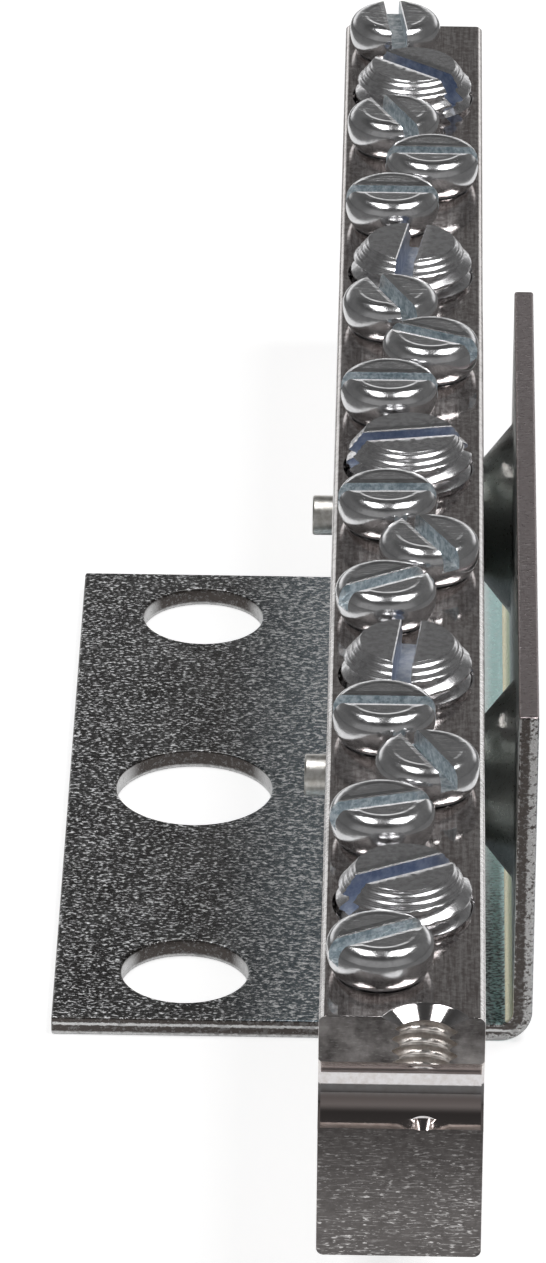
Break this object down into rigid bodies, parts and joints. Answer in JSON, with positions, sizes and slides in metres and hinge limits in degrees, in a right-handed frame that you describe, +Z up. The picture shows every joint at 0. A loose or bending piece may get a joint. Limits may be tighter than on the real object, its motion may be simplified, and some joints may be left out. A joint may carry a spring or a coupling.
{
  "type": "ground bar",
  "caption": "Aluminium ground bar with cross-drilled wire terminals and slotted clamp screws, riveted to a folded zinc-plated steel mounting bracket.",
  "frame": {"origin": "centre of the bracket's middle mounting hole, on the underside of the base plate", "axes": "+X from the mounting holes towards the bar and the flange, +Y along the bar, +Z up out of the base plate"},
  "size_m": [0.0297, 0.1396, 0.0269],
  "materials": {
    "bar_aluminium": "mill-finish drawn aluminium with sawn ends",
    "bracket_zinc": "zinc-plated sheet steel, fine speckle, sheared edges",
    "screw_zinc": "bright clear zinc plating",
    "rivet_steel": "plain plated steel"
  },
  "bodies": {
    "bar_and_bracket": {"terminal_bar": "bar_aluminium", "mounting_bracket": "bracket_zinc", "rivet_front": "rivet_steel", "rivet_rear": "rivet_steel"},
    "lug_screw_1": {"lug_screw_1": "screw_zinc"},
    "lug_screw_2": {"lug_screw_2": "screw_zinc"},
    "lug_screw_3": {"lug_screw_3": "screw_zinc"},
    "lug_screw_4": {"lug_screw_4": "screw_zinc"},
    "lug_screw_5": {"lug_screw_5": "screw_zinc"},
    "left_screw_1": {"left_screw_1": "screw_zinc"},
    "left_screw_2": {"left_screw_2": "screw_zinc"},
    "left_screw_3": {"left_screw_3": "screw_zinc"},
    "left_screw_4": {"left_screw_4": "screw_zinc"},
    "left_screw_5": {"left_screw_5": "screw_zinc"},
    "left_screw_6": {"left_screw_6": "screw_zinc"},
    "left_screw_7": {"left_screw_7": "screw_zinc"},
    "left_screw_8": {"left_screw_8": "screw_zinc"},
    "left_screw_9": {"left_screw_9": "screw_zinc"},
    "left_screw_10": {"left_screw_10": "screw_zinc"},
    "right_screw_1": {"right_screw_1": "screw_zinc"},
    "right_screw_2": {"right_screw_2": "screw_zinc"},
    "right_screw_3": {"right_screw_3": "screw_zinc"},
    "right_screw_4": {"right_screw_4": "screw_zinc"}
  },
  "joints": [
    {"name": "lug_screw_1_travel", "type": "slide", "parent": "bar_and_bracket", "child": "lug_screw_1", "axis": [0, 0, 1], "range_m": [-0.0045, 0.001]},
    {"name": "lug_screw_2_travel", "type": "slide", "parent": "bar_and_bracket", "child": "lug_screw_2", "axis": [0, 0, 1], "range_m": [-0.0045, 0.001]},
    {"name": "lug_screw_3_travel", "type": "slide", "parent": "bar_and_bracket", "child": "lug_screw_3", "axis": [0, 0, 1], "range_m": [-0.0045, 0.001]},
    {"name": "lug_screw_4_travel", "type": "slide", "parent": "bar_and_bracket", "child": "lug_screw_4", "axis": [0, 0, 1], "range_m": [-0.0045, 0.001]},
    {"name": "lug_screw_5_travel", "type": "slide", "parent": "bar_and_bracket", "child": "lug_screw_5", "axis": [0, 0, 1], "range_m": [-0.0045, 0.001]},
    {"name": "left_screw_1_travel", "type": "slide", "parent": "bar_and_bracket", "child": "left_screw_1", "axis": [0, 0, 1], "range_m": [0, 0.004]},
    {"name": "left_screw_2_travel", "type": "slide", "parent": "bar_and_bracket", "child": "left_screw_2", "axis": [0, 0, 1], "range_m": [0, 0.004]},
    {"name": "left_screw_3_travel", "type": "slide", "parent": "bar_and_bracket", "child": "left_screw_3", "axis": [0, 0, 1], "range_m": [0, 0.004]},
    {"name": "left_screw_4_travel", "type": "slide", "parent": "bar_and_bracket", "child": "left_screw_4", "axis": [0, 0, 1], "range_m": [0, 0.004]},
    {"name": "left_screw_5_travel", "type": "slide", "parent": "bar_and_bracket", "child": "left_screw_5", "axis": [0, 0, 1], "range_m": [0, 0.004]},
    {"name": "left_screw_6_travel", "type": "slide", "parent": "bar_and_bracket", "child": "left_screw_6", "axis": [0, 0, 1], "range_m": [0, 0.004]},
    {"name": "left_screw_7_travel", "type": "slide", "parent": "bar_and_bracket", "child": "left_screw_7", "axis": [0, 0, 1], "range_m": [0, 0.004]},
    {"name": "left_screw_8_travel", "type": "slide", "parent": "bar_and_bracket", "child": "left_screw_8", "axis": [0, 0, 1], "range_m": [0, 0.004]},
    {"name": "left_screw_9_travel", "type": "slide", "parent": "bar_and_bracket", "child": "left_screw_9", "axis": [0, 0, 1], "range_m": [0, 0.004]},
    {"name": "left_screw_10_travel", "type": "slide", "parent": "bar_and_bracket", "child": "left_screw_10", "axis": [0, 0, 1], "range_m": [0, 0.004]},
    {"name": "right_screw_1_travel", "type": "slide", "parent": "bar_and_bracket", "child": "right_screw_1", "axis": [0, 0, 1], "range_m": [0, 0.004]},
    {"name": "right_screw_2_travel", "type": "slide", "parent": "bar_and_bracket", "child": "right_screw_2", "axis": [0, 0, 1], "range_m": [0, 0.004]},
    {"name": "right_screw_3_travel", "type": "slide", "parent": "bar_and_bracket", "child": "right_screw_3", "axis": [0, 0, 1], "range_m": [0, 0.004]},
    {"name": "right_screw_4_travel", "type": "slide", "parent": "bar_and_bracket", "child": "right_screw_4", "axis": [0, 0, 1], "range_m": [0, 0.004]}
  ]
}
